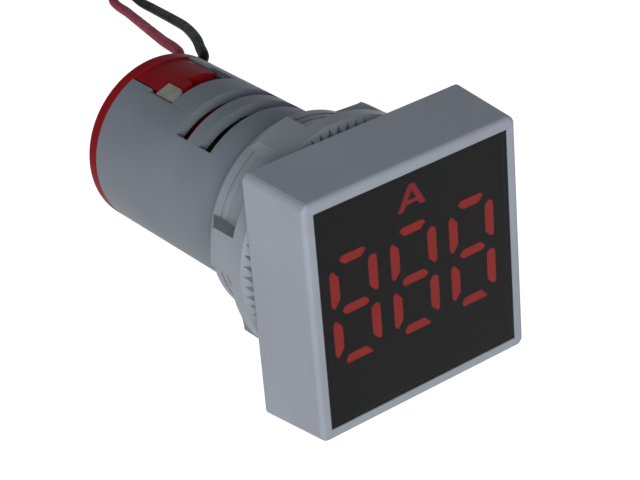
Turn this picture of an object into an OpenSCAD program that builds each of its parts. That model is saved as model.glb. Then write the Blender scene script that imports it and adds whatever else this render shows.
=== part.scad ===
// Square panel meter on a round barrel, held in a 22 mm panel hole by a rear lock nut.
// X is to the right seen from the front, Y runs back through the panel, Z is up.
// The origin is the middle of the face that seats on the panel.

/* [Bezel] */
// Side of the square frame where it meets the panel
bezel_back = 30; // [28.5:0.5:34]
// Side of the square frame at its front face
bezel_front = 28.9; // [28.2:0.1:30]
// How far the frame stands out of the panel
bezel_depth = 9.5; // [9.2:0.1:14]
// Rounding of the front edges
bezel_round = 0.6; // [0.2:0.1:0.8]
// Rounding of the four corners
corner_round = 1; // [0.6:0.1:1.6]
// Thickness of the wall behind the display
bezel_floor = 1.6; // [1.2:0.1:2.2]

/* [Window] */
// Side of the square window
window_size = 26.2; // [24.6:0.1:26.4]
// Thickness of the window
window_thick = 0.5; // [0.4:0.1:1.2]
// How far the window lies below the frame's front face
window_recess = 0.1; // [0:0.1:0.6]
// Width of the step that the window rests on
window_step = 0.35; // [0.2:0.05:0.5]
// Gap all round the window
window_gap = 0.05; // [0.02:0.01:0.1]

/* [Display] */
// Thickness of the display block
display_thick = 5; // [3:0.1:5.2]
// Distance between the middles of two digits
digit_pitch = 8.15; // [7.8:0.05:8.4]
// Width of a digit between the middles of its upright bars
digit_wide = 5.15; // [4.5:0.05:5.4]
// Height from the middle bar to the top bar
digit_half = 6; // [5:0.05:7]
// Width of a light bar
bar_wide = 1.2; // [0.7:0.1:1.4]
// Gap between the middles of two bars that meet at a corner
bar_gap = 1.6; // [1.2:0.1:2]
// Depth of a light bar
bar_deep = 0.6; // [0.4:0.1:1.2]

/* [Barrel] */
// Outer diameter of the barrel
barrel_d = 21.3; // [20.9:0.1:21.6]
// Wall of the barrel
barrel_wall = 1.3; // [1.1:0.1:1.5]
// Length of the barrel behind the panel face
barrel_length = 37.55; // [36:0.05:44]
// Outer diameter of the threaded neck
neck_d = 22; // [21.8:0.1:22.2]
// Length of the threaded neck behind the panel face
neck_length = 11.8; // [10:0.1:15]
// Where the first vent slot starts behind the panel face
slot_start = 18; // [17:0.1:19]
// Width of a vent slot
slot_wide = 2.3; // [1.5:0.1:3]
// Distance from one vent slot to the next
slot_pitch = 4.5; // [4:0.1:4.8]
// Angle that a vent slot covers
slot_angle = 82; // [40:2:100]
// Angle that the key notch covers
notch_angle = 50; // [44:1:56]
// Length of the key notch
notch_length = 8.7; // [8.4:0.1:9.2]

/* [Lock nut] */
// Outer diameter of the nut's flange and lugs
nut_d = 29; // [28:0.5:32]
// Front face of the nut behind the panel face
nut_front = 2.1; // [2.1:0.1:4]
// Length of the nut
nut_length = 9.9; // [8.5:0.1:11]
// Thickness of the flange
flange_thick = 2.9; // [2.4:0.1:3.6]
// Width and height of the flange's front bevel
flange_bevel = 1; // [0.6:0.1:1.2]
// Wall of the hub round the thread
hub_wall = 1.15; // [0.9:0.05:1.8]
// Gap between the neck's thread and the nut's
thread_gap = 0.05; // [0.02:0.01:0.1]
// Number of lugs
lugs = 6; // [4:1:8]
// Width of a lug
lug_wide = 4.5; // [3:0.1:6]
// Number of teeth on the front face
teeth = 72; // [36:4:72]
// Depth of a tooth
tooth_deep = 0.8; // [0.4:0.1:1]

/* [Terminal block] */
// Thickness of the block's rear rim
rim_thick = 1.5; // [1.2:0.1:2.5]
// Gap between the block and the barrel
block_gap = 0.1; // [0.05:0.05:0.2]
// Length of the block inside the barrel
block_length = 9.5; // [9.5:0.1:10]
// Distance between the two terminal screws
terminal_pitch = 8.8; // [8.6:0.1:9.4]
// Width of a terminal chamber
chamber_wide = 5.8; // [5.6:0.1:6]
// Height of a terminal chamber
chamber_high = 7; // [6.4:0.1:7.2]
// Diameter of a terminal screw
screw_d = 3; // [2.5:0.1:3]
// Diameter of its head
screw_head_d = 5; // [4.4:0.1:5.2]
// Height of its head
screw_head_high = 1.9; // [1.4:0.1:2.2]
// Thickness of the contact and clamp plates
plate_thick = 0.9; // [0.6:0.1:1]
// Opening between the contact and clamp plates
clamp_open = 1.3; // [1:0.1:1.6]

/* [Boards] */
// Thickness of the display board
display_board_thick = 1; // [0.8:0.1:1.2]
// Thickness of the main board
main_board_thick = 1.2; // [0.8:0.1:1.4]
// Width of the main board
main_board_wide = 15.6; // [13:0.2:16]
// Height of the main board's lower face above the axis
main_board_z = 3; // [2.8:0.1:3.4]

/* [Leads] */
// Diameter of a lead over its insulation
lead_d = 1.4; // [1:0.1:1.6]
// Gap round a lead in its hole
lead_gap = 0.1; // [0.05:0.05:0.2]
// Bare length at the end of a lead
tip_length = 5; // [3:0.5:8]

/* [Hidden] */
$fn = 96;
cut = 1;

// Bezel and window
cavity = window_size + 2 * window_gap - 2 * window_step;
window_y = -bezel_depth + window_recess;
step_y = window_y + window_thick;
neck_seat = 0.5;
board_gap = 0.05;
inner_size = cavity - 2 * board_gap;
pad_size = 3;

// Display
display_front = step_y + board_gap;
display_back = display_front + display_thick;
display_board_back = display_back + display_board_thick;
bar_play = 0.03;
bar_bevel = 0.42;

// Barrel
barrel_r = barrel_d / 2;
bore_r = barrel_r - barrel_wall;
neck_r = neck_d / 2;
spigot_wall = 0.5;
spigot_r = bore_r + spigot_wall;
spigot_gap = 0.05;
lip = 0.3;
lip_thick = 0.45;
thread_end = 0.35;
notch_step = 2.5;
notch_step_length = 4;
slot_count = 2;

// Nut
nut_r = nut_d / 2;
nut_bore_r = neck_r + thread_gap;
hub_r = nut_bore_r + hub_wall;
nut_back = nut_front + nut_length;
lug_first = 49.3;
lug_drop = 3;
hub_lip = 0.15;
bead = 1.1;
bead_narrow = 0.8;
groove = 0.15;
tooth_from_r = nut_bore_r + 0.95;
tooth_span = 0.85;
cone_foot = 0.8;
cone_top = 0.1;
bead_high = 0.1;
groove_deep = 0.2;
lip_low = 0.05;
lug_edge = 0.35;
lug_root = 0.5;

// Terminal block
block_r = bore_r - block_gap;
block_front = barrel_length - block_length;
block_back = barrel_length + rim_thick;
key_r = barrel_r - 0.2;
key_play = 1.2;
slot_play = 0.1;
key_start = 1.55;
// Pockets in front of each key, as [from x, to x, length]
pockets = [[-0.4, 5, 2.85], [-5, -2.05, 3.85]];
pocket_floor = 7.6;
terminal_x = terminal_pitch / 2;
contact_y = block_front + 3;
clamp_y = contact_y + plate_thick + clamp_open;
head_y = clamp_y + plate_thick;
plate_play = 0.2;
screw_play = 0.08;
screw_reach = 2.6;
head_gap = 0.02;
head_bevel = 0.5;
cross_wide = 0.8;
cross_long = 3.6;
clamp_shorter = 1.4;
leg_wide = 1.6;
leg_thick = 0.8;
leg_reach = 1;
tab_wide = 2.1;
tab_long = 3.4;
tab_thick = 0.6;
tab_angle = 108.4;
tab_under = 0.1;
tab_front = 0.15;
tab_bevel = 0.9;
riser_x = -3.1;
riser_wide = 1.4;
riser_top = block_r + 0.35;
probe_wide = 0.7;
probe_long = 1.4;
probe_x = 3.1;
probe_under = 0.15;
strip_thick = 0.4;
strip_z = chamber_high / 2 - plate_play / 2 - strip_thick;
probe_y = contact_y + 4.3;

// Boards
main_board_front = 4;
main_board_back = block_front + 1.5;
main_board_top = main_board_z + main_board_thick;
header_long = 2.5;
header_wide = 12.7;
header_high = 2.5;
pin_count = 5;
pin_pitch = 2.54;
pin_thick = 0.6;

// Parts on the boards, as [length along Y, width, height] where they are boxes
chip_size = [1.2, 7, 5];
chip_z = -3;
film_size = [12, 5, 9];
film_place = [-6.2, 8];
can_r = 3.15;
can_long = 9;
can_place = [3.4, 8];
can_groove = 0.35;
part_gap = 0.1;
bridge_size = [3.9, 4.8, 1.8];
bridge_place = [-5.6, 12];
fuse_r = 1.2;
fuse_long = 6.2;
fuse_place = [-6.4, 20];
fuse_waist = 0.25;
part_edge = 0.3;

// Leads, as hand-laid routes of round points; each starts at its solder lug
lead_r = lead_d / 2;
lug_y = block_front - 2.25;
lug_thick = 0.6;
red_x = 1.6;
red_z = 6.4;
black_x = 6;
black_z = 5.4;
rest_z = -14.3;
end_y = block_back;
red_route = [
    [red_x, lug_y, red_z], [red_x, end_y - 7, red_z], [red_x, end_y - 0.4, red_z],
    [3.8, end_y + 3.2, 6.6], [7.7, end_y + 6.5, 6.5], [13.7, end_y + 19.9, 2.2],
    [22, end_y + 37.4, -4], [30.4, end_y + 55.4, -10.2], [36.5, end_y + 69.8, rest_z],
    [42, end_y + 79, rest_z], [50, end_y + 84, rest_z], [59, end_y + 83, rest_z],
    [66, end_y + 76, rest_z], [69, end_y + 66, rest_z], [69, end_y + 56, rest_z]
];
black_route = [
    [black_x, lug_y, black_z], [black_x, end_y - 7, black_z], [black_x, end_y - 0.4, black_z],
    [7.7, end_y + 2.7, 5.5], [10.4, end_y + 5.2, 5.5], [12.9, end_y + 9.6, 4.5],
    [16.7, end_y + 16.3, 2.5], [22.1, end_y + 26.9, -1], [26.7, end_y + 37.3, -4.5],
    [32.4, end_y + 51, -9], [37, end_y + 63.1, -12.5], [41, end_y + 71, rest_z],
    [48, end_y + 77, rest_z], [56, end_y + 76.5, rest_z], [62, end_y + 70, rest_z],
    [64, end_y + 61, rest_z], [64, end_y + 52, rest_z]
];
lead_sides = 8;
ring_spacing = 3.6;
tip_part = 0.55;

// ---- Helpers ----

// Stands a shape drawn upwards along the Y axis, with its foot at y
module along_y(y) {
    translate([0, y, 0]) rotate([-90, 0, 0]) children();
}

// A round bar from y0 to y1
module rod(r, y0, y1) {
    along_y(y0) cylinder(r = r, h = y1 - y0);
}

// A square plate of the given side from y0 to y1
module square_slab(side, y0, y1) {
    translate([-side / 2, y0, -side / 2]) cube([side, y1 - y0, side]);
}

// A box centred on x and z, from y0 to y1
module block(wide, high, y0, y1) {
    translate([-wide / 2, y0, -high / 2]) cube([wide, y1 - y0, high]);
}

// The part of a ring between two radii, from y0 to y1, centred on an angle from +X to +Z
module ring_sector(r0, r1, y0, y1, middle, span) {
    rotate([0, span / 2 - middle, 0])
        along_y(y0)
            rotate_extrude(angle = -span)
                translate([r0, 0]) square([r1 - r0, y1 - y0]);
}

// A revolved outline, whose points are [distance behind the panel, radius]
module turned(outline) {
    along_y(0) rotate_extrude() polygon([for (p = outline) [p[1], p[0]]]);
}

// ---- Bezel ----

// How far the side of a square with rounded corners lies from its middle in a direction
function reach(side, angle) =
    (side / 2 - corner_round) * (cos(angle) + sin(angle)) + corner_round;

// Side view of the frame: a taper with rounded front edges
module taper_outline(back, front_edge) {
    front = front_edge - bezel_round;
    polygon([
        [back, cut],
        [back, 0],
        for (a = [0:15:90])
            [front + bezel_round * cos(a), -bezel_depth + bezel_round * (1 - sin(a))],
        for (a = [90:15:180])
            [-front + bezel_round * cos(a), -bezel_depth + bezel_round * (1 - sin(a))],
        [-back, 0],
        [-back, cut]
    ]);
}

module bezel_outside() {
    corner_faces = 4;
    intersection() {
        intersection_for (i = [0:2 * corner_faces - 1])
            rotate([0, i * 90 / corner_faces, 0])
                linear_extrude(height = 2 * bezel_back, center = true)
                    taper_outline(reach(bezel_back, (i % corner_faces) * 90 / corner_faces),
                                  reach(bezel_front, (i % corner_faces) * 90 / corner_faces));
        square_slab(2 * bezel_back, -bezel_depth - cut, 0);
    }
}

module board_pads() {
    place = inner_size / 2 - pad_size / 2;
    for (x = [-place, place], z = [-place, place])
        translate([x, 0, z]) block(pad_size, pad_size, display_board_back, -bezel_floor);
}

module bezel() {
    color("#989ba7") {
        difference() {
            bezel_outside();
            square_slab(window_size + 2 * window_gap, -bezel_depth - cut, step_y);
            square_slab(cavity, step_y - cut, -bezel_floor);
            rod(spigot_r + spigot_gap, -bezel_floor - cut, cut);
            rod(neck_r + spigot_gap, -neck_seat, cut);
        }
        board_pads();
    }
}

module window() {
    color("#1b1b1d") square_slab(window_size, window_y, step_y);
}

// ---- Display ----

// One light bar along X with its corners cut off
module bar_outline(long, wide) {
    x = long / 2;
    z = wide / 2;
    polygon([
        [-x, z - bar_bevel], [-x + bar_bevel, z], [x - bar_bevel, z], [x, z - bar_bevel],
        [x, bar_bevel - z], [x - bar_bevel, -z], [-x + bar_bevel, -z], [-x, bar_bevel - z]
    ]);
}

// The seven bars of a digit seen from the front, grown by play on every side
module digit_outline(play) {
    flat = digit_wide - bar_gap + 2 * play;
    tall = digit_half - bar_gap + 2 * play;
    wide = bar_wide + 2 * play;
    for (z = [-digit_half, 0, digit_half])
        translate([0, z]) bar_outline(flat, wide);
    for (x = [-digit_wide / 2, digit_wide / 2], z = [-digit_half / 2, digit_half / 2])
        translate([x, z]) rotate(90) bar_outline(tall, wide);
}

module digit_solid(place, play, y0, y1) {
    translate([place * digit_pitch, y1, 0])
        rotate([90, 0, 0]) linear_extrude(height = y1 - y0) digit_outline(play);
}

module display_block() {
    color("#161616")
        difference() {
            square_slab(inner_size, display_front, display_back);
            for (place = [-1:1])
                digit_solid(place, bar_play, display_front - cut, display_front + bar_deep);
        }
}

module digit(place) {
    color("#8c2d2d") digit_solid(place, 0, display_front, display_front + bar_deep);
}

// ---- Boards and their parts ----

module display_board() {
    color("#1f5a34") square_slab(inner_size, display_back, display_board_back);
}

module controller_chip() {
    color("#202022")
        translate([0, 0, chip_z])
            block(chip_size[1], chip_size[2], display_board_back,
                  display_board_back + chip_size[0]);
}

module header_block() {
    color("#141414")
        translate([-header_wide / 2, main_board_front, main_board_top])
            cube([header_wide, header_long, header_high]);
}

module header_pins() {
    color("#d8c070")
        for (i = [0:pin_count - 1])
            translate([(i - (pin_count - 1) / 2) * pin_pitch, 0, main_board_top + header_high / 2])
                block(pin_thick, pin_thick, display_board_back, main_board_front);
}

module main_board() {
    color("#1f5a34")
        translate([0, 0, main_board_z + main_board_thick / 2])
            block(main_board_wide, main_board_thick, main_board_front, main_board_back);
}

module film_capacitor() {
    color("#b5452c")
        translate([film_place[0], film_place[1], main_board_z - film_size[2]])
            cube([film_size[1], film_size[0], film_size[2]]);
}

// Can with a rolled groove near its base, lying under the board
module smoothing_capacitor() {
    r = can_r;
    color("#2b2f3a")
        translate([can_place[0], can_place[1], main_board_z - r - part_gap])
            turned([[0, 0], [0, r - part_edge], [part_edge, r], [5 * part_edge, r],
                    [6 * part_edge, r - can_groove], [7 * part_edge, r - can_groove],
                    [8 * part_edge, r], [can_long - part_edge, r],
                    [can_long, r - part_edge], [can_long, 0]]);
}

module bridge_rectifier() {
    color("#202022")
        translate([bridge_place[0], bridge_place[1], main_board_top])
            cube([bridge_size[1], bridge_size[0], bridge_size[2]]);
}

// Round-ended resistor with a narrower waist, lying across the board
module fuse_resistor() {
    r = fuse_r;
    edge = part_edge;
    color("#4f7fa0")
        translate([fuse_place[0], fuse_place[1], main_board_top + r + part_gap])
            rotate([0, 90, 0])
                rotate_extrude()
                    polygon([[0, 0], [r - edge, 0], [r, edge], [r, 4 * edge],
                             [r - fuse_waist, 5 * edge],
                             [r - fuse_waist, fuse_long - 5 * edge],
                             [r, fuse_long - 4 * edge], [r, fuse_long - edge],
                             [r - edge, fuse_long], [0, fuse_long]]);
}

module wire_lugs() {
    color("#c9c9c4")
        for (p = [[red_x, red_z], [black_x, black_z]])
            translate([p[0] - lead_r, lug_y - lug_thick, main_board_top])
                cube([lead_d, lug_thick, p[1] + lead_r - main_board_top]);
}

// ---- Barrel ----

module vent_slots(side) {
    for (i = [0:slot_count - 1])
        ring_sector(bore_r - cut, neck_r + cut, slot_start + i * slot_pitch,
                    slot_start + i * slot_pitch + slot_wide, side * 90, slot_angle);
}

module key_notch(side) {
    start = barrel_length - notch_length;
    ring_sector(bore_r - cut, neck_r + cut, start, barrel_length - notch_step_length,
                side * 90, notch_angle);
    ring_sector(bore_r - cut, neck_r + cut, barrel_length - notch_step_length - cut / 2,
                barrel_length + cut, side * 90, notch_angle - 2 * notch_step);
}

module barrel() {
    spigot_end = -bezel_floor - spigot_gap - lip_thick;
    color("#6a7078")
        difference() {
            turned([
                [spigot_end, bore_r], [spigot_end, spigot_r],
                [spigot_end + lip_thick - lip, spigot_r + lip],
                [spigot_end + lip_thick, spigot_r + lip],
                [spigot_end + lip_thick, spigot_r], [-neck_seat, spigot_r],
                [-neck_seat, neck_r], [neck_length - thread_end, neck_r],
                [neck_length, barrel_r], [barrel_length, barrel_r], [barrel_length, bore_r]
            ]);
            for (side = [-1, 1]) {
                vent_slots(side);
                key_notch(side);
            }
        }
}

// ---- Lock nut ----

// Flange, coned hub and the two beads behind it
module nut_body() {
    flange_back = nut_front + flange_thick;
    bead_back = nut_back - hub_lip - groove;
    bead_front = bead_back - bead;
    narrow_back = bead_front - groove;
    narrow_front = narrow_back - bead_narrow;
    turned([
        [nut_front, nut_bore_r],
        [nut_front, nut_r - flange_bevel],
        [nut_front + flange_bevel, nut_r],
        [flange_back, nut_r],
        [flange_back, hub_r + cone_foot],
        [narrow_front, hub_r - cone_top],
        [narrow_front, hub_r], [narrow_back, hub_r],
        [narrow_back, hub_r - groove_deep], [bead_front, hub_r - groove_deep],
        [bead_front, hub_r + bead_high], [bead_back, hub_r + bead_high],
        [bead_back, hub_r - groove_deep], [nut_back - hub_lip, hub_r - groove_deep],
        [nut_back - hub_lip, hub_r - lip_low], [nut_back, hub_r - lip_low],
        [nut_back, nut_bore_r]
    ]);
}

// Grips that run back from the flange and slope down to the hub's rear edge
module nut_lugs() {
    flange_back = nut_front + flange_thick;
    intersection() {
        turned([
            [flange_back - cut, hub_r - lug_root], [flange_back - cut, nut_r],
            [nut_back - lug_drop - lug_edge, nut_r], [nut_back - lug_drop, nut_r - lug_edge],
            [nut_back - cone_top, hub_r - cone_top], [nut_back - cone_top, hub_r - lug_root]
        ]);
        union()
            for (i = [0:lugs - 1])
                rotate([0, -lug_first - i * 360 / lugs, 0])
                    translate([0, flange_back - cut, -lug_wide / 2])
                        cube([nut_r + cut, nut_length, lug_wide]);
    }
}

// One saw-tooth groove across the front face and its bevel
module tooth_groove() {
    translate([tooth_from_r, nut_front, 0])
        rotate([90, 0, 90])
            linear_extrude(height = nut_r)
                polygon([[-cut, 0], [-cut, tooth_span * (1 + cut / tooth_deep)],
                         [tooth_deep, 0]]);
}

module lock_nut() {
    color("#757b84")
        difference() {
            union() {
                nut_body();
                nut_lugs();
            }
            for (i = [0:teeth - 1])
                rotate([0, i * 360 / teeth, 0]) tooth_groove();
        }
}

// ---- Terminal block ----

// Ribs that fill the barrel's notches
module keys() {
    for (side = [-1, 1])
        ring_sector(block_r - cut, key_r, barrel_length - notch_length + key_start,
                    barrel_length + rim_thick / 2, side * 90,
                    notch_angle - 2 * notch_step - 2 * key_play);
}

// Hollows at the front of each notch, which leave a narrow tongue of the key
module key_pockets() {
    start = barrel_length - notch_length;
    for (side = [-1, 1], p = pockets)
        translate([(p[0] + p[1]) / 2, 0, side * (pocket_floor + barrel_r / 2)])
            block(p[1] - p[0], barrel_r, start, start + p[2]);
}

module chambers() {
    for (side = [-1, 1])
        translate([side * terminal_x, 0, 0]) {
            block(chamber_wide, chamber_high, contact_y, block_back + cut);
            rod(screw_d / 2 + plate_play, block_front - cut, contact_y + cut);
            translate([0, 0, main_board_z - leg_thick / 2])
                block(leg_wide + plate_play, leg_thick + plate_play, block_front - cut,
                      contact_y + cut);
        }
}

module terminal_block() {
    color("#8a1c22")
        difference() {
            union() {
                rod(block_r, block_front, barrel_length + cut / 2);
                rod(barrel_r, barrel_length, block_back);
                keys();
            }
            chambers();
            key_pockets();
            translate([0, 0, main_board_z + main_board_thick / 2])
                block(main_board_wide + plate_play, main_board_thick + slot_play,
                      block_front - cut, main_board_back + slot_play);
            translate([red_x, 0, red_z])
                rod(lead_r + lead_gap, block_front - cut, block_back + cut);
            translate([black_x, 0, black_z])
                rod(lead_r + lead_gap, block_front - cut, block_back + cut);
            tab_riser(plate_play / 2);
            probe_riser(plate_play / 2);
        }
}

// Strip from the left contact up to its tab in the notch
module tab_riser(play) {
    translate([riser_x - riser_wide / 2 - play, contact_y - play, strip_z])
        cube([riser_wide + 2 * play, plate_thick + 2 * play, riser_top - strip_z]);
}

// Strip from the right contact up to its end in the notch
module probe_riser(play) {
    top = sqrt(key_r * key_r - probe_x * probe_x) - probe_under;
    translate([probe_x - probe_wide / 2 - play, probe_y - play, strip_z])
        cube([probe_wide + 2 * play, probe_long + 2 * play, top + play - strip_z]);
}

// Metal tab that lies flush in the notch, with one corner cut off
module contact_tab() {
    half = tab_wide / 2;
    outer = barrel_r - tab_under;
    rotate([0, -tab_angle, 0])
        translate([outer, barrel_length - notch_length + tab_front, 0])
            rotate([0, -90, 0])
                linear_extrude(height = tab_thick)
                    polygon([[-half, tab_bevel], [-half + tab_bevel, 0], [half, 0],
                             [half, tab_long], [-half, tab_long]]);
}

// Threaded plate at the bottom of a chamber, with a leg to the main board
module contact_plate(side) {
    wide = chamber_wide - plate_play;
    high = chamber_high - plate_play;
    translate([side * terminal_x, 0, 0]) {
        difference() {
            block(wide, high, contact_y, contact_y + plate_thick);
            rod(screw_d / 2 + screw_play, contact_y - cut, contact_y + plate_thick + cut);
        }
        translate([0, 0, main_board_z - leg_thick / 2])
            block(leg_wide, leg_thick, block_front - leg_reach, contact_y + plate_thick / 2);
    }
}

module contact_left() {
    color("#c4bd96") {
        contact_plate(-1);
        tab_riser(0);
        contact_tab();
    }
}

module contact_right() {
    color("#d9d6c8") {
        contact_plate(1);
        translate([probe_x - probe_wide / 2, contact_y, strip_z])
            cube([probe_wide, probe_y + probe_long - contact_y, strip_thick]);
        probe_riser(0);
    }
}

module clamp(side) {
    color("#b9bcc0")
        translate([side * terminal_x, 0, 0])
            difference() {
                block(chamber_wide - 2 * plate_play, chamber_high - clamp_shorter, clamp_y,
                      head_y);
                rod(screw_d / 2 + screw_play, clamp_y - cut, head_y + cut);
            }
}

module screw(side) {
    r = screw_head_d / 2;
    under_head = head_y + head_gap;
    top = under_head + screw_head_high;
    slot = screw_head_high / 2;
    color("#c8cacc")
        translate([side * terminal_x, 0, 0])
            difference() {
                union() {
                    rod(screw_d / 2, contact_y - screw_reach, under_head + slot / 2);
                    along_y(under_head)
                        rotate_extrude()
                            polygon([[0, 0], [r, 0], [r, screw_head_high - head_bevel],
                                     [r - head_bevel, screw_head_high],
                                     [0, screw_head_high]]);
                }
                block(cross_wide, cross_long, top - slot, top + cut);
                block(cross_long, cross_wide, top - slot, top + cut);
            }
}

// ---- Leads ----

function unit(v) = v / norm(v);

// Smooth curve through b and c, with a before and d after
function between(a, b, c, d, t) =
    0.5 * (2 * b + (c - a) * t + (2 * a - 5 * b + 4 * c - d) * t * t
        + (3 * b - a - 3 * c + d) * t * t * t);

// Keeps a point from going lower than z
function above(p, z) = [p[0], p[1], max(p[2], z)];

function padded(route) =
    let (n = len(route))
    concat([2 * route[0] - route[1]], route, [2 * route[n - 1] - route[n - 2]]);

// Points along the whole route, about a ring spacing apart
function line_points(route) =
    let (p = padded(route))
    concat(
        [for (i = [1:len(p) - 3])
            let (steps = max(1, round(norm(p[i + 1] - p[i]) / ring_spacing)))
            for (s = [0:steps - 1])
                above(between(p[i - 1], p[i], p[i + 1], p[i + 2], s / steps), rest_z)],
        [route[len(route) - 1]]
    );

function heading(line, i) =
    unit(line[min(i + 1, len(line) - 1)] - line[max(i - 1, 0)]);

// A ring of points round the line's point i
function ring(line, i, r) =
    let (ahead = heading(line, i), across = unit(cross(ahead, [0, 0, 1])),
         up = cross(across, ahead))
    [for (k = [0:lead_sides - 1])
        let (a = (k + 0.5) * 360 / lead_sides)
        line[i] + r * (cos(a) * across + sin(a) * up)];

module tube(route, r) {
    line = line_points(route);
    last = len(line) - 1;
    n = lead_sides;
    polyhedron(
        points = [for (i = [0:last]) each ring(line, i, r)],
        faces = concat(
            [[for (k = [0:n - 1]) k]],
            [for (i = [0:last - 1], k = [0:n - 1])
                [i * n + k, (i + 1) * n + k, (i + 1) * n + (k + 1) % n, i * n + (k + 1) % n]],
            [[for (k = [n - 1:-1:0]) last * n + k]]
        )
    );
}

// Bare end of a lead, which runs on towards -Y
module tip(route) {
    last = route[len(route) - 1];
    translate([last[0], 0, last[2]]) rod(lead_r * tip_part, last[1] - tip_length, last[1]);
}

bezel();
window();
display_block();
digit(-1);  // digit_left
digit(0);  // digit_middle
digit(1);  // digit_right
display_board();
controller_chip();
header_block();
header_pins();
main_board();
film_capacitor();
smoothing_capacitor();
bridge_rectifier();
fuse_resistor();
barrel();
lock_nut();
terminal_block();
contact_left();
contact_right();
clamp(-1);  // clamp_left
clamp(1);  // clamp_right
screw(-1);  // screw_left
screw(1);  // screw_right
wire_lugs();
color("#8a2a3c") tube(red_route, lead_r);  // red_lead
color("#19191b") tube(black_route, lead_r);  // black_lead
color("#c9c9c4") tip(red_route);  // red_tip
color("#c9c9c4") tip(black_route);  // black_tip
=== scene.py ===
"""Finishes and fine detail of a square panel meter: moulded grey ABS, smoked window, red bars
with a painted glow, threaded neck, unit sign, plated terminals and two thin leads."""
import math

import bmesh
import bpy
from mathutils import Matrix, Vector


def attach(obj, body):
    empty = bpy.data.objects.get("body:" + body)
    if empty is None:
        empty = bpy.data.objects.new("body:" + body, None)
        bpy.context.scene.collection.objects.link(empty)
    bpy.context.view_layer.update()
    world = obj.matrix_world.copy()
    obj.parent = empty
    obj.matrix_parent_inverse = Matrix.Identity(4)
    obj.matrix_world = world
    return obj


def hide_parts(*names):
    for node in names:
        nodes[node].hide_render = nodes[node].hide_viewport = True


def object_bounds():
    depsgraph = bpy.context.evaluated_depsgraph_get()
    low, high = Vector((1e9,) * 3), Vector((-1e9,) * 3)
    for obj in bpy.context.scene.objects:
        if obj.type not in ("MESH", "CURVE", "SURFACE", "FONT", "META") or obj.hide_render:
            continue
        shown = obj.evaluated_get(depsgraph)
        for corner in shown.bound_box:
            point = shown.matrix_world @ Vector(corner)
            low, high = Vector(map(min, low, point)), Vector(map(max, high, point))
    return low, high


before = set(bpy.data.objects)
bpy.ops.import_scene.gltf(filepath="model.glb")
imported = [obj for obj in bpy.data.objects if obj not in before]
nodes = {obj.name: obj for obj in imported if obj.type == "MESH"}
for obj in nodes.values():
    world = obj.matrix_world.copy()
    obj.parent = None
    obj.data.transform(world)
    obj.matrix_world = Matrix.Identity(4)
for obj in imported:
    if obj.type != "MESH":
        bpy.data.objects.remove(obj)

MM = 0.001
cad_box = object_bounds()

# ---- Camera ----

AZIMUTH, ELEVATION, ROLL = -35.48, 29.30, -5.02
DISTANCE = 249.33
ASIDE, ABOVE = -4.71, 1.39
LENS = 127.714
SENSOR = 36.0
CLIP = (0.01, 20)


def placed(name, data):
    """A new object in the scene that holds the given mesh, curve, lamp or camera."""
    made = bpy.data.objects.new(name, data)
    bpy.context.scene.collection.objects.link(made)
    return made


def make_camera():
    """The camera, set by its angles and distance from the middle of the frame's back face."""
    a, e, r = (math.radians(v) for v in (AZIMUTH, ELEVATION, ROLL))
    back = Vector((math.sin(a) * math.cos(e), -math.cos(a) * math.cos(e), math.sin(e)))
    right = (-back).cross(Vector((0, 0, 1))).normalized()
    up = right.cross(-back)
    place = (back * DISTANCE + right * ASIDE + up * ABOVE) * MM
    across = right * math.cos(r) + up * math.sin(r)
    upright = -right * math.sin(r) + up * math.cos(r)
    data = bpy.data.cameras.new("camera")
    data.lens, data.sensor_width = LENS, SENSOR
    data.clip_start, data.clip_end = CLIP
    camera = placed("camera", data)
    camera.matrix_world = Matrix.Translation(place) @ Matrix(
        (across, upright, back)).transposed().to_4x4()
    bpy.context.scene.camera = camera


make_camera()

# ---- Materials: helpers ----


def linear(colour):
    """An sRGB hex colour as linear RGBA."""
    parts = [int(colour[i:i + 2], 16) / 255 for i in (0, 2, 4)]
    return (*(c / 12.92 if c <= 0.04045 else ((c + 0.055) / 1.055) ** 2.4 for c in parts), 1.0)


def add(tree, kind, inputs=None, **settings):
    """Adds a node with its settings, and sets each input to a value or links it to an output."""
    made = tree.nodes.new(kind)
    for name, value in settings.items():
        setattr(made, name, value)
    for name, value in (inputs or {}).items():
        if isinstance(value, bpy.types.NodeSocket):
            tree.links.new(value, made.inputs[name])
        else:
            made.inputs[name].default_value = value
    return made


def new_material(name):
    """An empty material with its output; returns it, its tree and the output node."""
    material = bpy.data.materials.new(name)
    material.use_nodes = True
    material.node_tree.nodes.clear()
    return material, material.node_tree, add(material.node_tree, "ShaderNodeOutputMaterial")


def place(tree):
    """Object coordinates, in metres, so that every pattern's scale is a real size."""
    return add(tree, "ShaderNodeTexCoord").outputs["Object"]


def noise(tree, size_mm, detail=2.0, vector=None, roughness=0.5):
    """Noise with spots about size_mm across."""
    return add(tree, "ShaderNodeTexNoise", {
        "Vector": vector or place(tree), "Scale": 1 / (size_mm * MM), "Detail": detail,
        "Roughness": roughness}).outputs["Fac"]


def between(tree, amount, low, high, from_low=0.0, from_high=1.0):
    """Stretches a 0 to 1 amount to the range from low to high."""
    return add(tree, "ShaderNodeMapRange", {
        "Value": amount, "From Min": from_low, "From Max": from_high,
        "To Min": low, "To Max": high}).outputs["Result"]


def mix_colour(tree, amount, first, second):
    """The first colour at amount 0 and the second at 1; each is a value or an output."""
    made = add(tree, "ShaderNodeMix", {0: amount}, data_type="RGBA")
    for socket, value in ((made.inputs[6], first), (made.inputs[7], second)):
        if isinstance(value, bpy.types.NodeSocket):
            tree.links.new(value, socket)
        else:
            socket.default_value = value
    return made.outputs[2]


def soft_edges(tree, radius_mm):
    """The normal with every edge rounded off, as on a moulding."""
    return add(tree, "ShaderNodeBevel", {"Radius": radius_mm * MM}, samples=6).outputs["Normal"]


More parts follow.
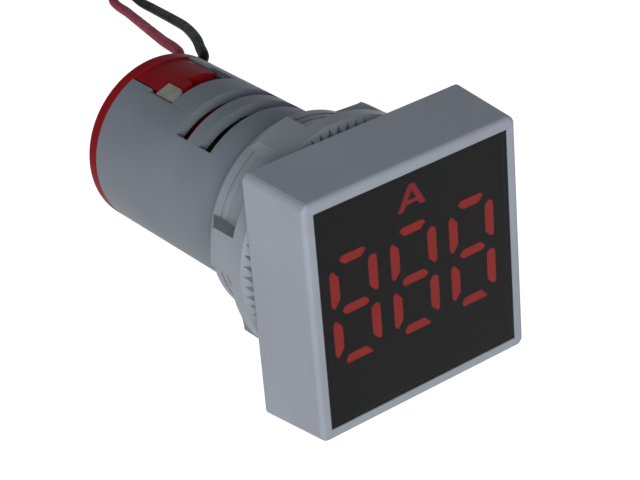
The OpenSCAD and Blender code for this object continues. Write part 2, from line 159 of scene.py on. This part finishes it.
def bump(tree, height, depth_mm, normal=None):
    """The normal of a relief depth_mm deep, laid over another normal where one is given."""
    inputs = {"Height": height, "Distance": depth_mm * MM, "Strength": 1.0}
    if normal is not None:
        inputs["Normal"] = normal
    return add(tree, "ShaderNodeBump", inputs).outputs["Normal"]


def moulded(name, colour, tint, roughness, grain_mm, depth_mm, edge_mm, specular=0.35):
    """Injection-moulded plastic: slow drift between two tones, spark-eroded grain, soft edges."""
    material, tree, output = new_material(name)
    drift = between(tree, noise(tree, 9.0, 3.0), 0.0, 1.0, 0.3, 0.7)
    grain = noise(tree, grain_mm, 2.0)
    normal = bump(tree, grain, depth_mm, soft_edges(tree, edge_mm))
    shader = add(tree, "ShaderNodeBsdfPrincipled", {
        "Base Color": mix_colour(tree, drift, linear(colour), linear(tint)),
        "Roughness": between(tree, grain, roughness - 0.06, roughness + 0.06),
        "IOR": 1.53, "Specular IOR Level": specular, "Normal": normal})
    tree.links.new(shader.outputs["BSDF"], output.inputs["Surface"])
    return material


def metal(name, colour, dull, roughness, streak_mm, along, edge_mm=0.06, metallic=1.0):
    """Rolled or plated metal: fine streaks along one axis and patches gone dull."""
    material, tree, output = new_material(name)
    stretch = [1.0, 1.0, 1.0]
    stretch["XYZ".index(along)] = 0.08
    line = add(tree, "ShaderNodeMapping", {"Vector": place(tree), "Scale": stretch})
    streak = noise(tree, streak_mm, 3.0, line.outputs["Vector"])
    patch = between(tree, noise(tree, 1.6, 4.0), 0.0, 1.0, 0.42, 0.68)
    normal = bump(tree, streak, 0.012, soft_edges(tree, edge_mm))
    rough = add(tree, "ShaderNodeMath", {
        0: between(tree, streak, roughness - 0.08, roughness + 0.08),
        1: between(tree, patch, 0.0, 0.15)}, operation="ADD")
    shader = add(tree, "ShaderNodeBsdfPrincipled", {
        "Base Color": mix_colour(tree, patch, linear(colour), linear(dull)),
        "Metallic": metallic, "Roughness": rough.outputs[0], "Normal": normal})
    tree.links.new(shader.outputs["BSDF"], output.inputs["Surface"])
    return material


# ---- Materials ----

# Each row: name, colour, second tone, roughness, then in millimetres the grain's size, its depth
# and the edges' radius.

# Grey ABS from a spark-eroded mould: matt, even, with a slight sheen on its rounded edges. The
# grain is drawn a little coarser than the real 0.1 mm so that it shows.
abs_frame = moulded("spark_grained_abs_frame", "8d919b", "949aa3", 0.52, 0.3, 0.012, 0.12)
# The barrel is given a darker grey than the frame: painted shade for the weaker light that falls on it.
abs_body = moulded("spark_grained_abs_body", "697078", "71777f", 0.52, 0.3, 0.012, 0.12)
# The nut's mould was polished less evenly, so it is a touch glossier on the grips.
abs_nut = moulded("polished_abs_nut", "858a92", "8e949b", 0.44, 0.5, 0.01, 0.1)
# Red PBT of the terminal insert: denser, semi-gloss, with a faint orange-peel.
pbt_insert = moulded("semi_gloss_pbt_insert", "7c1218", "8a171e", 0.42, 0.8, 0.02, 0.12, 0.03)
# Black ABS block that keeps the light of one bar from the next: dead matt.
black_block = moulded("matt_black_abs_block", "0c0c0d", "121213", 0.8, 0.3, 0.01, 0.05, 0.2)
# Moulded epoxy of the chip and the rectifier: dark, dull, finely pitted.
black_epoxy = moulded("pitted_black_epoxy", "1b1b1d", "232326", 0.6, 0.15, 0.015, 0.06)
# Dipped epoxy of the film capacitor: thick, glossy, a little wavy.
dipped_epoxy = moulded("dipped_red_epoxy", "a83f28", "b5482e", 0.22, 2.0, 0.06, 0.4)
# Shrunk PVC sleeve of the smoothing capacitor.
shrunk_sleeve = moulded("shrunk_pvc_sleeve", "1d2130", "252a3c", 0.3, 1.5, 0.03, 0.1)
# Lacquered body of the fusible resistor.
lacquer = moulded("blue_resistor_lacquer", "3f7196", "4a7ea3", 0.3, 0.8, 0.02, 0.2)

# Plated brass of the left contact, gone dull in patches.
dull_brass = metal("dull_plated_brass", "c6c2b6", "aaa593", 0.42, 0.12, "Y")
# Hot-tinned brass of the right contact: pale, soft sheen.
tinned_brass = metal("hot_tinned_brass", "dcd9cc", "b5b1a2", 0.36, 0.15, "Y")
# Zinc-plated steel of the clamp plates, punched and tumbled.
zinc_plate = metal("zinc_plated_steel", "bfc3c8", "9a9ea3", 0.32, 0.1, "X")
# Bright zinc on the cold-headed screws.
bright_zinc = metal("bright_zinc_screw", "d3d6da", "aeb2b7", 0.22, 0.1, "Z")
# Gold-flashed header pins.
gold_flash = metal("gold_flashed_pins", "d9b85c", "bd9b45", 0.25, 0.08, "Y")
# Tinned copper, of the soldered lugs and of the bare strands.
tinned_copper = metal("tinned_copper", "cfcdc8", "a19d95", 0.34, 0.1, "Y", 0.03)


TRACK_PITCH = 3.4


def make_solder_mask():
    """Glass-epoxy board under green solder mask: copper tracks show as paler, raised bands."""
    material, tree, output = new_material("green_solder_mask")
    flat = add(tree, "ShaderNodeMapping", {"Vector": place(tree), "Rotation": (0, 0, 0.6)})
    tracks = add(tree, "ShaderNodeTexWave", {
        "Vector": flat.outputs["Vector"], "Scale": 1 / (TRACK_PITCH * MM) / math.tau, "Distortion": 3.0,
        "Detail": 1.0, "Detail Scale": 0.6}, wave_type="BANDS", bands_direction="DIAGONAL")
    track = between(tree, tracks.outputs["Fac"], 0.0, 1.0, 0.5, 0.56)
    shader = add(tree, "ShaderNodeBsdfPrincipled", {
        "Base Color": mix_colour(tree, track, linear("123d24"), linear("1d5a34")),
        "Roughness": between(tree, noise(tree, 0.5), 0.25, 0.4), "IOR": 1.52,
        "Normal": bump(tree, track, 0.03)})
    tree.links.new(shader.outputs["BSDF"], output.inputs["Surface"])
    return material


def make_smoked_acrylic():
    """Smoked acrylic window: dark tint that still lets the bars through, gloss with faint haze."""
    material, tree, output = new_material("smoked_acrylic")
    haze = noise(tree, 6.0, 4.0)
    shader = add(tree, "ShaderNodeBsdfPrincipled", {
        "Base Color": mix_colour(tree, haze, linear("090909"), linear("0e0e0f")),
        "Roughness": between(tree, haze, 0.16, 0.26), "IOR": 1.49, "Alpha": 0.72,
        "Specular IOR Level": 0.2, "Normal": soft_edges(tree, 0.08)})
    tree.links.new(shader.outputs["BSDF"], output.inputs["Surface"])
    return material


def make_resin_with_painted_glow(name, colour, glow, strength):
    """Tinted resin with a painted glow: an emission that stands in for light, its colour a little
    uneven.
    """
    material, tree, output = new_material(name)
    uneven_glow = noise(tree, 1.6, 2.0)
    shader = add(tree, "ShaderNodeBsdfPrincipled", {
        "Base Color": mix_colour(tree, uneven_glow, linear(colour), linear(glow)),
        "Roughness": 0.45, "IOR": 1.5,
        "Emission Color": mix_colour(tree, uneven_glow, linear(glow), linear(colour)),
        "Emission Strength": strength})
    tree.links.new(shader.outputs["BSDF"], output.inputs["Surface"])
    return material


def make_pvc(name, colour, worn):
    """Extruded PVC insulation: smooth, waxy, with a faint fine relief and scuffs."""
    material, tree, output = new_material(name)
    scuff = between(tree, noise(tree, 2.5, 5.0), 0.0, 1.0, 0.45, 0.75)
    shader = add(tree, "ShaderNodeBsdfPrincipled", {
        "Base Color": mix_colour(tree, scuff, linear(colour), linear(worn)),
        "Roughness": between(tree, scuff, 0.42, 0.6), "IOR": 1.53, "Specular IOR Level": 0.006,
        "Normal": bump(tree, noise(tree, 0.6, 3.0), 0.006)})
    tree.links.new(shader.outputs["BSDF"], output.inputs["Surface"])
    return material


solder_mask = make_solder_mask()
smoked_acrylic = make_smoked_acrylic()
# The bars' emission is a painted glow, standing in for light on them.
painted_glow_bars = make_resin_with_painted_glow("red_resin_painted_glow", "c02a26", "c8302a", 4.7)
# The unit sign is the same red, printed on the block, with a weaker painted glow.
sign_ink_painted_glow = make_resin_with_painted_glow("red_sign_painted_glow", "b42a34", "bc303a", 4.4)
red_pvc = make_pvc("red_pvc_insulation", "a8264a", "b03458")
black_pvc = make_pvc("black_pvc_insulation", "151516", "26262a")

FINISHES = {
    "bezel": abs_frame, "window": smoked_acrylic, "display_block": black_block,
    "digit_left": painted_glow_bars, "digit_middle": painted_glow_bars, "digit_right": painted_glow_bars,
    "display_board": solder_mask, "controller_chip": black_epoxy, "header_block": black_block,
    "header_pins": gold_flash, "main_board": solder_mask, "film_capacitor": dipped_epoxy,
    "smoothing_capacitor": shrunk_sleeve, "bridge_rectifier": black_epoxy,
    "fuse_resistor": lacquer, "barrel": abs_body, "lock_nut": abs_nut,
    "terminal_block": pbt_insert, "contact_left": dull_brass, "contact_right": tinned_brass,
    "clamp_left": zinc_plate, "clamp_right": zinc_plate,
    "screw_left": bright_zinc, "screw_right": bright_zinc, "wire_lugs": tinned_copper,
    "red_lead": red_pvc, "black_lead": black_pvc, "red_tip": tinned_copper,
    "black_tip": tinned_copper,
}
for name, finish in FINISHES.items():
    slots = nodes[name].data.materials
    for i in range(len(slots)):
        slots[i] = finish
    if not slots:
        slots.append(finish)


# ---- Leads ----

LEAD_R = 0.7
REST_Z = -14.3
TIP_LONG = 5.0
WIRE_R, OUTER_WIRES, LAY_TURNS = 0.128, 6, 1.3
ROUTE_STEP = 1.2
RED_X, RED_Z = 1.6, 6.4
BLACK_X, BLACK_Z = 6.0, 5.4
LUG_Y, BACK_Y = 25.8, 39.05
RED_ROUTE = [
    (RED_X, LUG_Y, RED_Z), (RED_X, 32, RED_Z), (RED_X, 38.6, RED_Z), (3.8, 42.2, 6.6),
    (7.7, 45.5, 6.5), (13.7, 58.9, 2.2), (22, 76.4, -4), (30.4, 94.4, -10.2),
    (36.5, 108.8, REST_Z), (42, 118, REST_Z), (50, 123, REST_Z), (59, 122, REST_Z),
    (66, 115, REST_Z), (69, 105, REST_Z), (69, 95, REST_Z)]
BLACK_ROUTE = [
    (BLACK_X, LUG_Y, BLACK_Z), (BLACK_X, 32, BLACK_Z), (BLACK_X, 38.6, BLACK_Z),
    (7.7, 41.7, 5.5), (10.4, 44.2, 5.5), (12.9, 48.6, 4.5), (16.7, 55.3, 2.5),
    (22.1, 65.9, -1), (26.7, 76.3, -4.5), (32.4, 90, -9), (37, 102.1, -12.5),
    (41, 110, REST_Z), (48, 116, REST_Z), (56, 115.5, REST_Z), (62, 109, REST_Z),
    (64, 100, REST_Z), (64, 91, REST_Z)]


def smooth_line(route, spacing):
    """Points about spacing apart on the smooth curve through the route, none below the height
    at which the lead rests."""
    points = [Vector(p) for p in route]
    padded = [2 * points[0] - points[1], *points, 2 * points[-1] - points[-2]]
    line = []
    for a, b, c, d in zip(padded, padded[1:], padded[2:], padded[3:]):
        steps = max(1, round((c - b).length / spacing))
        for s in range(steps):
            t = s / steps
            p = 0.5 * (2 * b + (c - a) * t + (2 * a - 5 * b + 4 * c - d) * t * t
                       + (3 * b - a - 3 * c + d) * t * t * t)
            line.append(Vector((p.x, p.y, max(p.z, REST_Z))))
    return line + [points[-1]]


def make_lead(name, route, finish, node):
    """A lead as one smooth round tube, from its solder lug to its bare end; returns it, where it
    leaves the body, and its length in millimetres."""
    line = smooth_line(route, ROUTE_STEP)
    curve = bpy.data.curves.new(name, "CURVE")
    curve.dimensions = "3D"
    curve.bevel_depth = LEAD_R * MM
    curve.bevel_resolution = 4
    curve.use_fill_caps = True
    spline = curve.splines.new("POLY")
    spline.points.add(len(line) - 1)
    for point, p in zip(spline.points, line):
        point.co = (*(p * MM), 1)
    curve.materials.append(finish)
    lead = placed(name, curve)
    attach(lead, "meter")
    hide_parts(node)
    length = sum((b - a).length for a, b in zip(line, line[1:]))
    exit_point = (route[0][0] * MM, BACK_Y * MM, route[0][2] * MM)
    return lead, exit_point, length


def new_tree(name, inputs):
    """A Geometry Nodes tree with named inputs, each a float or a whole number; returns it and
    the outputs that give those inputs."""
    tree = bpy.data.node_groups.new(name, "GeometryNodeTree")
    for label, value in inputs.items():
        kind = "NodeSocketInt" if isinstance(value, int) else "NodeSocketFloat"
        socket = tree.interface.new_socket(label, in_out="INPUT", socket_type=kind)
        socket.default_value = value
    tree.interface.new_socket("Geometry", in_out="OUTPUT", socket_type="NodeSocketGeometry")
    return tree, add(tree, "NodeGroupInput").outputs


def end_tree(tree, geometry, finish):
    """Makes real geometry of what the tree laid out, gives it its material and puts it out."""
    real = add(tree, "GeometryNodeRealizeInstances", {"Geometry": geometry})
    coated = add(tree, "GeometryNodeSetMaterial", {
        "Geometry": real.outputs[0], "Material": finish})
    add(tree, "NodeGroupOutput", {"Geometry": coated.outputs[0]})


def make_strands(name, route, node):
    """Geometry Nodes: seven tinned wires laid into a rope, standing out of a lead's cut end."""
    tree, given = new_tree("laid_strands", {
        "Length": TIP_LONG * MM, "Wire Radius": WIRE_R * MM, "Turns": LAY_TURNS,
        "Strands": OUTER_WIRES})
    wide = add(tree, "ShaderNodeMath", {0: given["Wire Radius"], 1: 2.0}, operation="MULTIPLY")
    spiral = add(tree, "GeometryNodeCurveSpiral", {
        "Resolution": 20, "Rotations": given["Turns"], "Start Radius": wide.outputs[0],
        "End Radius": wide.outputs[0], "Height": given["Length"]})
    circle = add(tree, "GeometryNodeCurvePrimitiveCircle", {
        "Resolution": 8, "Radius": given["Wire Radius"]})
    wire = add(tree, "GeometryNodeCurveToMesh", {
        "Curve": spiral.outputs["Curve"], "Profile Curve": circle.outputs["Curve"],
        "Fill Caps": True})
    turn = add(tree, "ShaderNodeMath", {0: math.tau, 1: given["Strands"]}, operation="DIVIDE")
    spots = add(tree, "GeometryNodeMeshLine", {"Count": given["Strands"], "Offset": (0, 0, 0)})
    index = add(tree, "GeometryNodeInputIndex")
    angle = add(tree, "ShaderNodeMath", {0: index.outputs[0], 1: turn.outputs[0]},
                operation="MULTIPLY")
    spin = add(tree, "ShaderNodeCombineXYZ", {"Z": angle.outputs[0]})
    copies = add(tree, "GeometryNodeInstanceOnPoints", {
        "Points": spots.outputs["Mesh"], "Instance": wire.outputs["Mesh"],
        "Rotation": spin.outputs["Vector"]})
    core_end = add(tree, "ShaderNodeCombineXYZ", {"Z": given["Length"]})
    core_line = add(tree, "GeometryNodeCurvePrimitiveLine", {"End": core_end.outputs[0]})
    core = add(tree, "GeometryNodeCurveToMesh", {
        "Curve": core_line.outputs["Curve"], "Profile Curve": circle.outputs["Curve"],
        "Fill Caps": True})
    both = add(tree, "GeometryNodeJoinGeometry")
    tree.links.new(core.outputs["Mesh"], both.inputs[0])
    tree.links.new(copies.outputs["Instances"], both.inputs[0])
    end_tree(tree, both.outputs[0], tinned_copper)
    strands = grown(name, tree)
    strands.data.transform(
        Matrix.Translation(Vector(route[-1]) * MM) @ Matrix.Rotation(math.pi / 2, 4, "X"))
    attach(strands, "meter")
    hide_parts(node)
    return strands


def grown(name, tree):
    """The plain mesh that a Geometry Nodes tree makes."""
    seed = placed(name + "_seed", bpy.data.meshes.new(name + "_seed"))
    seed.modifiers.new("grow", "NODES").node_group = tree
    bpy.context.view_layer.update()
    graph = bpy.context.evaluated_depsgraph_get()
    mesh = bpy.data.meshes.new_from_object(seed.evaluated_get(graph), depsgraph=graph)
    bpy.data.objects.remove(seed)
    mesh.name = name
    return placed(name, mesh)


red_lead, red_exit, red_long = make_lead(
    "red_lead_insulation", RED_ROUTE, red_pvc, "red_lead")
black_lead, black_exit, black_long = make_lead(
    "black_lead_insulation", BLACK_ROUTE, black_pvc, "black_lead")
red_strands = make_strands("red_lead_strands", RED_ROUTE, "red_tip")
black_strands = make_strands("black_lead_strands", BLACK_ROUTE, "black_tip")
print("lead lengths, mm:", round(red_long, 1), round(black_long, 1))


# ---- Threaded neck ----

NECK_R, THREAD_ROOT_R = 11.0, 10.5
THREAD_PITCH = 1.5
THREAD_FROM, THREAD_TO = -0.3, 11.2
# The ridge's width at its foot and at its crest, as shares of the pitch
FOOT_SHARE, CREST_SHARE = 0.72, 0.22
POINTS_A_TURN = 96
# A point within this of the neck's radius lies on the neck
NECK_BAND = 0.03
WELD_WITHIN = 1e-7
# The profile's own height lies along its Y axis, so a quarter turn stands the ridge outwards
RIDGE_TURN = math.pi / 2


def smooth_by_angle(mesh, degrees=32):
    """Smooth shading, with an edge kept sharp where its faces meet at more than the angle."""
    for face in mesh.polygons:
        face.use_smooth = True
    mesh.set_sharp_from_angle(angle=math.radians(degrees))


def make_barrel():
    """The barrel with its neck turned down to the thread's root."""
    mesh = nodes["barrel"].data.copy()
    shell = bmesh.new()
    shell.from_mesh(mesh)
    bmesh.ops.remove_doubles(shell, verts=shell.verts, dist=WELD_WITHIN)
    for v in shell.verts:
        r = math.hypot(v.co.x, v.co.z)
        if abs(r - NECK_R * MM) < NECK_BAND * MM:
            v.co.x *= THREAD_ROOT_R * MM / r
            v.co.z *= THREAD_ROOT_R * MM / r
    bmesh.ops.recalc_face_normals(shell, faces=shell.faces)
    shell.to_mesh(mesh)
    shell.free()
    smooth_by_angle(mesh)
    mesh.name = "barrel_shell"
    barrel = placed("barrel_shell", mesh)
    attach(barrel, "meter")
    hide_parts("barrel")


def make_thread():
    """Geometry Nodes: one right-handed trapezoid ridge that climbs the neck turn by turn."""
    tree, given = new_tree("helical_thread", {
        "Pitch": THREAD_PITCH * MM, "Turns": (THREAD_TO - THREAD_FROM) / THREAD_PITCH,
        "Root Radius": THREAD_ROOT_R * MM, "Height": (NECK_R - THREAD_ROOT_R) * MM})
    climb = add(tree, "ShaderNodeMath", {0: given["Pitch"], 1: given["Turns"]},
                operation="MULTIPLY")
    half = add(tree, "ShaderNodeMath", {0: given["Height"], 1: 0.5}, operation="MULTIPLY")
    middle = add(tree, "ShaderNodeMath", {0: given["Root Radius"], 1: half.outputs[0]})
    spiral = add(tree, "GeometryNodeCurveSpiral", {
        "Resolution": POINTS_A_TURN, "Rotations": given["Turns"], "Start Radius": middle.outputs[0],
        "End Radius": middle.outputs[0], "Height": climb.outputs[0], "Reverse": True})
    upright = add(tree, "GeometryNodeSetCurveNormal", {"Curve": spiral.outputs["Curve"]},
                  mode="Z_UP")
    foot = add(tree, "ShaderNodeMath", {0: given["Pitch"], 1: FOOT_SHARE},
               operation="MULTIPLY")
    crest = add(tree, "ShaderNodeMath", {0: given["Pitch"], 1: CREST_SHARE},
                operation="MULTIPLY")
    ridge = add(tree, "GeometryNodeCurvePrimitiveQuadrilateral", {
        "Height": given["Height"], "Bottom Width": foot.outputs[0],
        "Top Width": crest.outputs[0], "Offset": 0.0}, mode="TRAPEZOID")
    facing = add(tree, "GeometryNodeTransform", {
        "Geometry": ridge.outputs["Curve"], "Rotation": (0, 0, RIDGE_TURN)})
    swept = add(tree, "GeometryNodeCurveToMesh", {
        "Curve": upright.outputs["Curve"], "Profile Curve": facing.outputs["Geometry"],
        "Fill Caps": True})
    laid = add(tree, "GeometryNodeTransform", {
        "Geometry": swept.outputs["Mesh"], "Rotation": (-math.pi / 2, 0, 0),
        "Translation": (0, THREAD_FROM * MM, 0)})
    end_tree(tree, laid.outputs[0], abs_body)
    thread = grown("neck_thread", tree)
    smooth_by_angle(thread.data)
    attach(thread, "meter")


make_barrel()
make_thread()

# ---- Bars with a painted glow ----

DIGIT_PITCH, DIGIT_WIDE, DIGIT_HALF = 8.15, 5.15, 6.0
DIGIT_FRONT, BAR_DEEP = -8.85, 0.6
UPRIGHT_WIDE, LEVEL_WIDE = 1.15, 0.85
UPRIGHT_LONG, LEVEL_LONG = 4.6, 3.6
UPRIGHT_CLIP, LEVEL_CLIP = 0.32, 0.12
# How much shorter a mitred bar's inner side is, in bar widths
MITRE = 1.7


def mitred(long, wide, clip):
    """A bar along X whose upper side is the long one: slanted ends, outer corners clipped."""
    short = long - MITRE * wide
    return [(clip - long / 2, wide / 2), (long / 2 - clip, wide / 2), (long / 2, wide / 2 - clip),
            (short / 2, -wide / 2), (-short / 2, -wide / 2), (-long / 2, wide / 2 - clip)]


def pointed(long, wide):
    """A bar along X with both ends cut to a point."""
    flat = long / 2 - wide / 2
    return [(-flat, wide / 2), (flat, wide / 2), (long / 2, 0), (flat, -wide / 2),
            (-flat, -wide / 2), (-long / 2, 0)]


def turned(outline, quarters, x, z):
    """The outline turned by quarter turns and moved, as [x, z] points."""
    turn = Matrix.Rotation(quarters * math.pi / 2, 2)
    return [turn @ Vector(p) + Vector((x, z)) for p in outline]


def plate(shell, points, cells, front, rear):
    """A closed plate between two planes of the Y axis, in millimetres, made of cells that share
    their edges; each cell lists its points in order."""
    ends = [[shell.verts.new((x * MM, y * MM, z * MM)) for x, z in points] for y in (front, rear)]
    sides = {}
    for cell in cells:
        shell.faces.new([ends[0][i] for i in cell])
        shell.faces.new([ends[1][i] for i in reversed(cell)])
        for i, j in zip(cell, cell[1:] + cell[:1]):
            sides.setdefault(frozenset((i, j)), []).append((i, j))
    for (i, j), *shared in sides.values():
        if not shared:
            shell.faces.new((ends[0][i], ends[1][i], ends[1][j], ends[0][j]))


def flat_piece(name, plates, front, rear, finish):
    """One piece of several plates, each given as its points and cells."""
    shell = bmesh.new()
    for points, cells in plates:
        plate(shell, points, cells, front, rear)
    bmesh.ops.recalc_face_normals(shell, faces=shell.faces)
    mesh = bpy.data.meshes.new(name)
    shell.to_mesh(mesh)
    shell.free()
    mesh.materials.append(finish)
    piece = placed(name, mesh)
    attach(piece, "meter")
    return piece


def make_digit(node, place_along):
    """The seven bars of one digit, mitred where they would meet at the corners."""
    middle = place_along * DIGIT_PITCH
    upright = mitred(UPRIGHT_LONG, UPRIGHT_WIDE, UPRIGHT_CLIP)
    level = mitred(LEVEL_LONG, LEVEL_WIDE, LEVEL_CLIP)
    bars = [turned(level, 0, middle, DIGIT_HALF), turned(level, 2, middle, -DIGIT_HALF),
            turned(pointed(LEVEL_LONG, LEVEL_WIDE), 0, middle, 0)]
    for z in (-DIGIT_HALF / 2, DIGIT_HALF / 2):
        bars.append(turned(upright, 1, middle - DIGIT_WIDE / 2, z))
        bars.append(turned(upright, 3, middle + DIGIT_WIDE / 2, z))
    plates = [(bar, [list(range(len(bar)))]) for bar in bars]
    digit = flat_piece(node + "_bars", plates, DIGIT_FRONT, DIGIT_FRONT + BAR_DEEP, painted_glow_bars)
    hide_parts(node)


for node, place_along in (("digit_left", -1), ("digit_middle", 0), ("digit_right", 1)):
    make_digit(node, place_along)

# ---- Unit sign ----

# The ampere sign as [x, z] points, the outside first, and the cells that tile it
SIGN_POINTS = [
    (-1.85, 8.45), (-0.20, 11.35), (0.58, 11.38), (2.02, 8.62), (1.22, 8.60), (0.96, 9.12),
    (-0.68, 9.05), (-1.05, 8.42), (-0.42, 9.55), (0.74, 9.60), (0.18, 10.60)]
SIGN_CELLS = [[0, 1, 10, 8, 6, 7], [1, 2, 3, 4, 5, 9, 10], [6, 8, 9, 5]]
SIGN_Y = -8.855
SIGN_DEEP = 0.02


def make_sign():
    """The unit sign above the digits, flat on the display block."""
    flat_piece("unit_sign", [(SIGN_POINTS, SIGN_CELLS)], SIGN_Y - SIGN_DEEP, SIGN_Y, sign_ink_painted_glow)


make_sign()

# ---- Floor, world and light ----


FLOOR_HALF, FLOOR_GAP = 3, 0.02
FLOOR_GLOW = 1.36
# How much of the floor is glow rather than paper: to diffuse light, and as seen directly
GLOW_SHARE = (0.06, 0.75)


def seen_directly(tree):
    """1 for what the camera sees itself, by reflection or through glass, and 0 for diffuse light."""
    path = add(tree, "ShaderNodeLightPath").outputs
    first = add(tree, "ShaderNodeMath", {
        0: path["Is Camera Ray"], 1: path["Is Glossy Ray"]}, operation="MAXIMUM")
    return add(tree, "ShaderNodeMath", {
        0: first.outputs[0], 1: path["Is Transmission Ray"]}, operation="MAXIMUM").outputs[0]


def make_floor():
    """White paper just under the part, its glow held back from the part's diffuse light."""
    material, tree, output = new_material("white_paper_floor")
    paper = add(tree, "ShaderNodeBsdfDiffuse", {"Color": (0.85, 0.85, 0.85, 1)})
    glow = add(tree, "ShaderNodeEmission", {"Color": (1, 1, 1, 1), "Strength": FLOOR_GLOW})
    share = between(tree, seen_directly(tree), *GLOW_SHARE)
    both = add(tree, "ShaderNodeMixShader", {0: share, 1: paper.outputs[0], 2: glow.outputs[0]})
    tree.links.new(both.outputs[0], output.inputs["Surface"])
    mesh = bpy.data.meshes.new("floor")
    low = cad_box[0].z - FLOOR_GAP * MM
    corners = [(x * FLOOR_HALF, y * FLOOR_HALF, low) for x, y in ((-1, -1), (1, -1), (1, 1), (-1, 1))]
    mesh.from_pydata(corners, [], [(0, 1, 2, 3)])
    mesh.materials.append(material)
    floor = placed("floor", mesh)


# Light that the studio's walls give, as strengths at the horizon and overhead
WALLS_TO_PART = (0.34, 0.17)
WALLS_SEEN_IN_GLOSS = (0.9, 0.22)
CEILING_FROM = 0.55
# The daylight is a little cool; the camera's own backdrop is neutral
DAYLIGHT, NEUTRAL = (0.93, 1.0, 1.08, 1), (1, 1, 1, 1)


def make_world():
    """White walls under a darker ceiling; the camera itself sees plain white."""
    world = bpy.data.worlds.new("studio")
    world.use_nodes = True
    tree = world.node_tree
    tree.nodes.clear()
    way = add(tree, "ShaderNodeSeparateXYZ", {
        0: add(tree, "ShaderNodeTexCoord").outputs["Generated"]}).outputs["Z"]
    soft = between(tree, way, *WALLS_TO_PART, 0.0, CEILING_FROM)
    gloss = between(tree, way, *WALLS_SEEN_IN_GLOSS, 0.0, CEILING_FROM)
    path = add(tree, "ShaderNodeLightPath").outputs
    mirrored = add(tree, "ShaderNodeMix", {
        0: seen_directly(tree), 2: soft, 3: gloss}).outputs[0]
    strength = add(tree, "ShaderNodeMix", {
        0: path["Is Camera Ray"], 2: mirrored, 3: 1.0}).outputs[0]
    tone = mix_colour(tree, path["Is Camera Ray"], DAYLIGHT, NEUTRAL)
    sky = add(tree, "ShaderNodeBackground", {"Color": tone, "Strength": strength})
    output = add(tree, "ShaderNodeOutputWorld")
    tree.links.new(sky.outputs[0], output.inputs["Surface"])
    bpy.context.scene.world = world


def make_lamp(name, toward, distance, size, power):
    """A square soft box at a distance from the meter, in metres, facing it."""
    data = bpy.data.lights.new(name, "AREA")
    data.size, data.energy = size, power
    lamp = placed(name, data)
    direction = Vector(toward).normalized()
    lamp.location = direction * distance
    lamp.rotation_mode = "QUATERNION"
    lamp.rotation_quaternion = direction.to_track_quat("Z", "Y")


make_floor()
make_world()
make_lamp("front_soft_box", toward=(-0.62, -0.74, 0.26), distance=0.8, size=0.45, power=6.0)
bpy.context.scene.view_settings.view_transform = "Standard"
